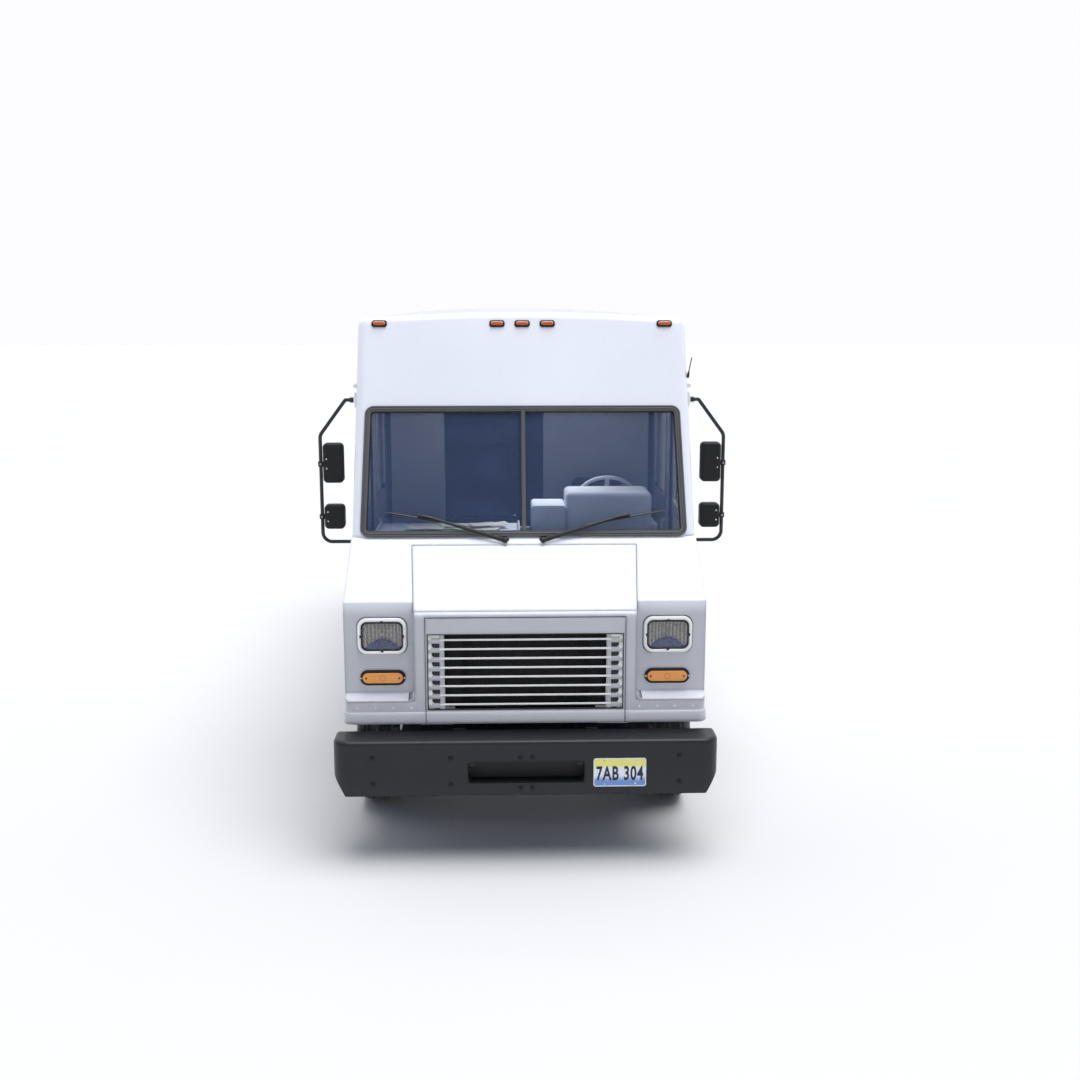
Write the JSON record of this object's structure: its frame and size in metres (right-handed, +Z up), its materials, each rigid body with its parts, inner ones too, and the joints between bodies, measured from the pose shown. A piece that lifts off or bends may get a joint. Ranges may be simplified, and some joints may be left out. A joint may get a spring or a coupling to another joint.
{
  "type": "mail delivery truck",
  "caption": "White walk-in mail delivery step van with sliding cab doors, rear swing doors, loop-arm mirrors, louvred grille and steel bumper.",
  "frame": {"origin": "on the ground under the middle of the van", "axes": "+Z up, -Y towards the front, +X towards the driver's side (vehicle left)"},
  "size_m": [2.612, 6.9, 3.1719],
  "materials": {
    "white_body": "white gel coat, satin gloss",
    "white_sheet": "white paint",
    "chassis_black": "satin black paint",
    "bumper_charcoal": "charcoal satin paint",
    "bare_steel": "worn steel",
    "zinc": "zinc plated",
    "plate_paint": "embossed painted sheet",
    "tyre_rubber": "matt",
    "rim_paint": "white paint",
    "cast_grey": "cast and oily",
    "radiator_dark": "black fins",
    "fan_plastic": "black",
    "louvre_paint": "light warm grey paint",
    "lamp_ring": "light grey",
    "clear_lens": "clear fluted",
    "black_trim": "fine grain",
    "amber_lens": "amber, red at the rear",
    "gasket_rubber": "matt",
    "tinted_glass": "blue tint",
    "alu_trim": "mill finish",
    "dash_plastic": "grey blue grain",
    "wheel_grip": "grained",
    "floor_sheet": "dark grey tread plate",
    "seat_vinyl": "dark vinyl",
    "lever_black": "satin black"
  },
  "bodies": {
    "van": {"chassis_frame": "chassis_black", "tank_and_battery": "chassis_black", "front_bumper": "bumper_charcoal", "bumper_bolts": "zinc", "licence_plate": "plate_paint", "axles": "cast_grey", "leaf_springs": "bare_steel", "engine": "cast_grey", "radiator": "radiator_dark", "floor": "floor_sheet", "roof": "white_sheet", "body_walls": "white_sheet", "front_cap": "white_body", "windshield_gasket": "gasket_rubber", "windshield_glass": "tinted_glass", "nose": "white_body", "grille_panel": "white_body", "grille_louvres": "louvre_paint", "headlamp_rings": "lamp_ring", "headlamp_lenses": "clear_lens", "exterior_trim": "black_trim", "lamp_lenses": "amber_lens", "door_tracks": "alu_trim", "bulkhead": "white_sheet", "rear_bumper": "chassis_black", "dashboard": "dash_plastic", "seat_base": "lever_black"},
    "knuckle_left": {"knuckle_left": "cast_grey"},
    "knuckle_right": {"knuckle_right": "cast_grey"},
    "tie_rod": {"tie_rod": "bare_steel"},
    "wheel_front_left": {"tyre_front_left": "tyre_rubber", "rim_front_left": "rim_paint"},
    "wheel_front_right": {"tyre_front_right": "tyre_rubber", "rim_front_right": "rim_paint"},
    "wheels_rear_left": {"tyres_rear_left": "tyre_rubber", "rims_rear_left": "rim_paint"},
    "wheels_rear_right": {"tyres_rear_right": "tyre_rubber", "rims_rear_right": "rim_paint"},
    "propshaft": {"propshaft": "bare_steel"},
    "fan": {"fan": "fan_plastic"},
    "hood": {"hood": "white_body"},
    "wiper_left": {"wiper_left": "black_trim"},
    "wiper_right": {"wiper_right": "black_trim"},
    "mirror_arm_left": {"mirror_arm_left": "lever_black"},
    "mirror_arm_right": {"mirror_arm_right": "lever_black"},
    "mirror_upper_left": {"mirror_upper_left": "black_trim"},
    "mirror_lower_left": {"mirror_lower_left": "black_trim"},
    "mirror_upper_right": {"mirror_upper_right": "black_trim"},
    "mirror_lower_right": {"mirror_lower_right": "black_trim"},
    "cab_door_left": {"cab_door_left": "white_sheet"},
    "cab_door_right": {"cab_door_right": "white_sheet"},
    "bulkhead_door": {"bulkhead_door": "white_sheet"},
    "rear_door_left": {"rear_door_left": "white_sheet"},
    "rear_door_right": {"rear_door_right": "white_sheet"},
    "steering_wheel": {"steering_wheel": "wheel_grip"},
    "brake_pedal": {"brake_pedal": "lever_black"},
    "accelerator": {"accelerator": "lever_black"},
    "shift_lever": {"shift_lever": "lever_black"},
    "seat": {"seat_cushion": "seat_vinyl"},
    "seat_back": {"seat_back": "seat_vinyl"}
  },
  "joints": [
    {"name": "steer_left", "type": "hinge", "parent": "van", "child": "knuckle_left", "pos_m": [0.86, -2.345, 0.41], "axis": [0, 0, 1], "range_deg": [-35, 35]},
    {"name": "steer_right", "type": "hinge", "parent": "van", "child": "knuckle_right", "pos_m": [-0.86, -2.345, 0.41], "axis": [0, 0, 1], "range_deg": [-35, 35]},
    {"name": "tie_rod_swing", "type": "hinge", "parent": "knuckle_left", "child": "tie_rod", "pos_m": [0.86, -2.195, 0.331], "axis": [0, 0, 1], "range_deg": [-35, 35]},
    {"name": "steering_wheel_turn", "type": "hinge", "parent": "van", "child": "steering_wheel", "pos_m": [0.555, -2.093, 1.934], "axis": [0, 0.866, 0.5], "range_deg": [-560, 560]},
    {"name": "spin_front_left", "type": "hinge", "parent": "knuckle_left", "child": "wheel_front_left", "pos_m": [0.955, -2.345, 0.41], "axis": [1, 0, 0], "continuous": true},
    {"name": "spin_front_right", "type": "hinge", "parent": "knuckle_right", "child": "wheel_front_right", "pos_m": [-0.955, -2.345, 0.41], "axis": [1, 0, 0], "continuous": true},
    {"name": "spin_rear_left", "type": "hinge", "parent": "van", "child": "wheels_rear_left", "pos_m": [0.8, 1.555, 0.41], "axis": [1, 0, 0], "continuous": true},
    {"name": "spin_rear_right", "type": "hinge", "parent": "van", "child": "wheels_rear_right", "pos_m": [-0.8, 1.555, 0.41], "axis": [1, 0, 0], "continuous": true},
    {"name": "propshaft_spin", "type": "hinge", "parent": "van", "child": "propshaft", "pos_m": [0, -1.565, 0.6], "axis": [0, 0.9982, -0.0604], "continuous": true},
    {"name": "fan_spin", "type": "hinge", "parent": "van", "child": "fan", "pos_m": [0, -3.02, 1.06], "axis": [0, 1, 0], "continuous": true},
    {"name": "hood_lift", "type": "hinge", "parent": "van", "child": "hood", "pos_m": [0, -2.87288, 1.79108], "axis": [-1, 0, 0], "range_deg": [0, 70]},
    {"name": "wipe_left", "type": "hinge", "parent": "van", "child": "wiper_left", "pos_m": [0.115, -2.86285, 1.81736], "axis": [0, -0.8988, 0.4384], "range_deg": [0, 74]},
    {"name": "wipe_right", "type": "hinge", "parent": "van", "child": "wiper_right", "pos_m": [-0.115, -2.86285, 1.81736], "axis": [0, -0.8988, 0.4384], "range_deg": [-74, 0]},
    {"name": "mirror_fold_left", "type": "hinge", "parent": "van", "child": "mirror_arm_left", "pos_m": [1.082, -2.325, 2.2], "axis": [0, 0, 1], "range_deg": [-60, 60]},
    {"name": "mirror_fold_right", "type": "hinge", "parent": "van", "child": "mirror_arm_right", "pos_m": [-1.082, -2.325, 2.2], "axis": [0, 0, 1], "range_deg": [-60, 60]},
    {"name": "mirror_upper_left_aim", "type": "hinge", "parent": "mirror_arm_left", "child": "mirror_upper_left", "pos_m": [1.288, -2.325, 2.221], "axis": [0, 0, 1], "range_deg": [-25, 25]},
    {"name": "mirror_lower_left_aim", "type": "hinge", "parent": "mirror_arm_left", "child": "mirror_lower_left", "pos_m": [1.288, -2.325, 1.881], "axis": [0, 0, 1], "range_deg": [-25, 25]},
    {"name": "mirror_upper_right_aim", "type": "hinge", "parent": "mirror_arm_right", "child": "mirror_upper_right", "pos_m": [-1.288, -2.325, 2.221], "axis": [0, 0, 1], "range_deg": [-25, 25]},
    {"name": "mirror_lower_right_aim", "type": "hinge", "parent": "mirror_arm_right", "child": "mirror_lower_right", "pos_m": [-1.288, -2.325, 1.881], "axis": [0, 0, 1], "range_deg": [-25, 25]},
    {"name": "cab_door_left_slide", "type": "slide", "parent": "van", "child": "cab_door_left", "axis": [0, 1, 0], "range_m": [0, 0.76]},
    {"name": "cab_door_right_slide", "type": "slide", "parent": "van", "child": "cab_door_right", "axis": [0, 1, 0], "range_m": [0, 0.76]},
    {"name": "bulkhead_door_slide", "type": "slide", "parent": "van", "child": "bulkhead_door", "axis": [-1, 0, 0], "range_m": [0, 0.735]},
    {"name": "rear_door_left_swing", "type": "hinge", "parent": "van", "child": "rear_door_left", "pos_m": [1.04, 3.391, 1.9], "axis": [0, 0, -1], "range_deg": [0, 110]},
    {"name": "rear_door_right_swing", "type": "hinge", "parent": "van", "child": "rear_door_right", "pos_m": [-1.04, 3.391, 1.9], "axis": [0, 0, 1], "range_deg": [0, 110]},
    {"name": "brake_press", "type": "hinge", "parent": "van", "child": "brake_pedal", "pos_m": [0.515, -2.25, 1.475], "axis": [-1, 0, 0], "range_deg": [0, 16], "stiffness_Nm_per_rad": 25, "springref_deg": -8.59},
    {"name": "accelerator_press", "type": "hinge", "parent": "van", "child": "accelerator", "pos_m": [0.66, -2.25, 1.475], "axis": [-1, 0, 0], "range_deg": [0, 16], "stiffness_Nm_per_rad": 15, "springref_deg": -11.46},
    {"name": "shift_lever_tilt", "type": "hinge", "parent": "van", "child": "shift_lever", "pos_m": [0.255, -2.145, 1.532], "axis": [1, 0, 0], "range_deg": [-12, 12]},
    {"name": "seat_slide", "type": "slide", "parent": "van", "child": "seat", "axis": [0, 1, 0], "range_m": [-0.1, 0.03]},
    {"name": "seat_recline", "type": "hinge", "parent": "seat", "child": "seat_back", "pos_m": [0.555, -1.24, 1.27], "axis": [-1, 0, 0], "range_deg": [0, 12]}
  ],
  "couplings": [
    {"joint": "steer_right", "follows": "steer_left", "ratio": 1},
    {"joint": "tie_rod_swing", "follows": "steer_left", "ratio": -1},
    {"joint": "steering_wheel_turn", "follows": "steer_left", "ratio": 16},
    {"joint": "spin_rear_right", "follows": "spin_rear_left", "ratio": 1},
    {"joint": "propshaft_spin", "follows": "spin_rear_left", "ratio": 4.1},
    {"joint": "wipe_right", "follows": "wipe_left", "ratio": -1}
  ]
}
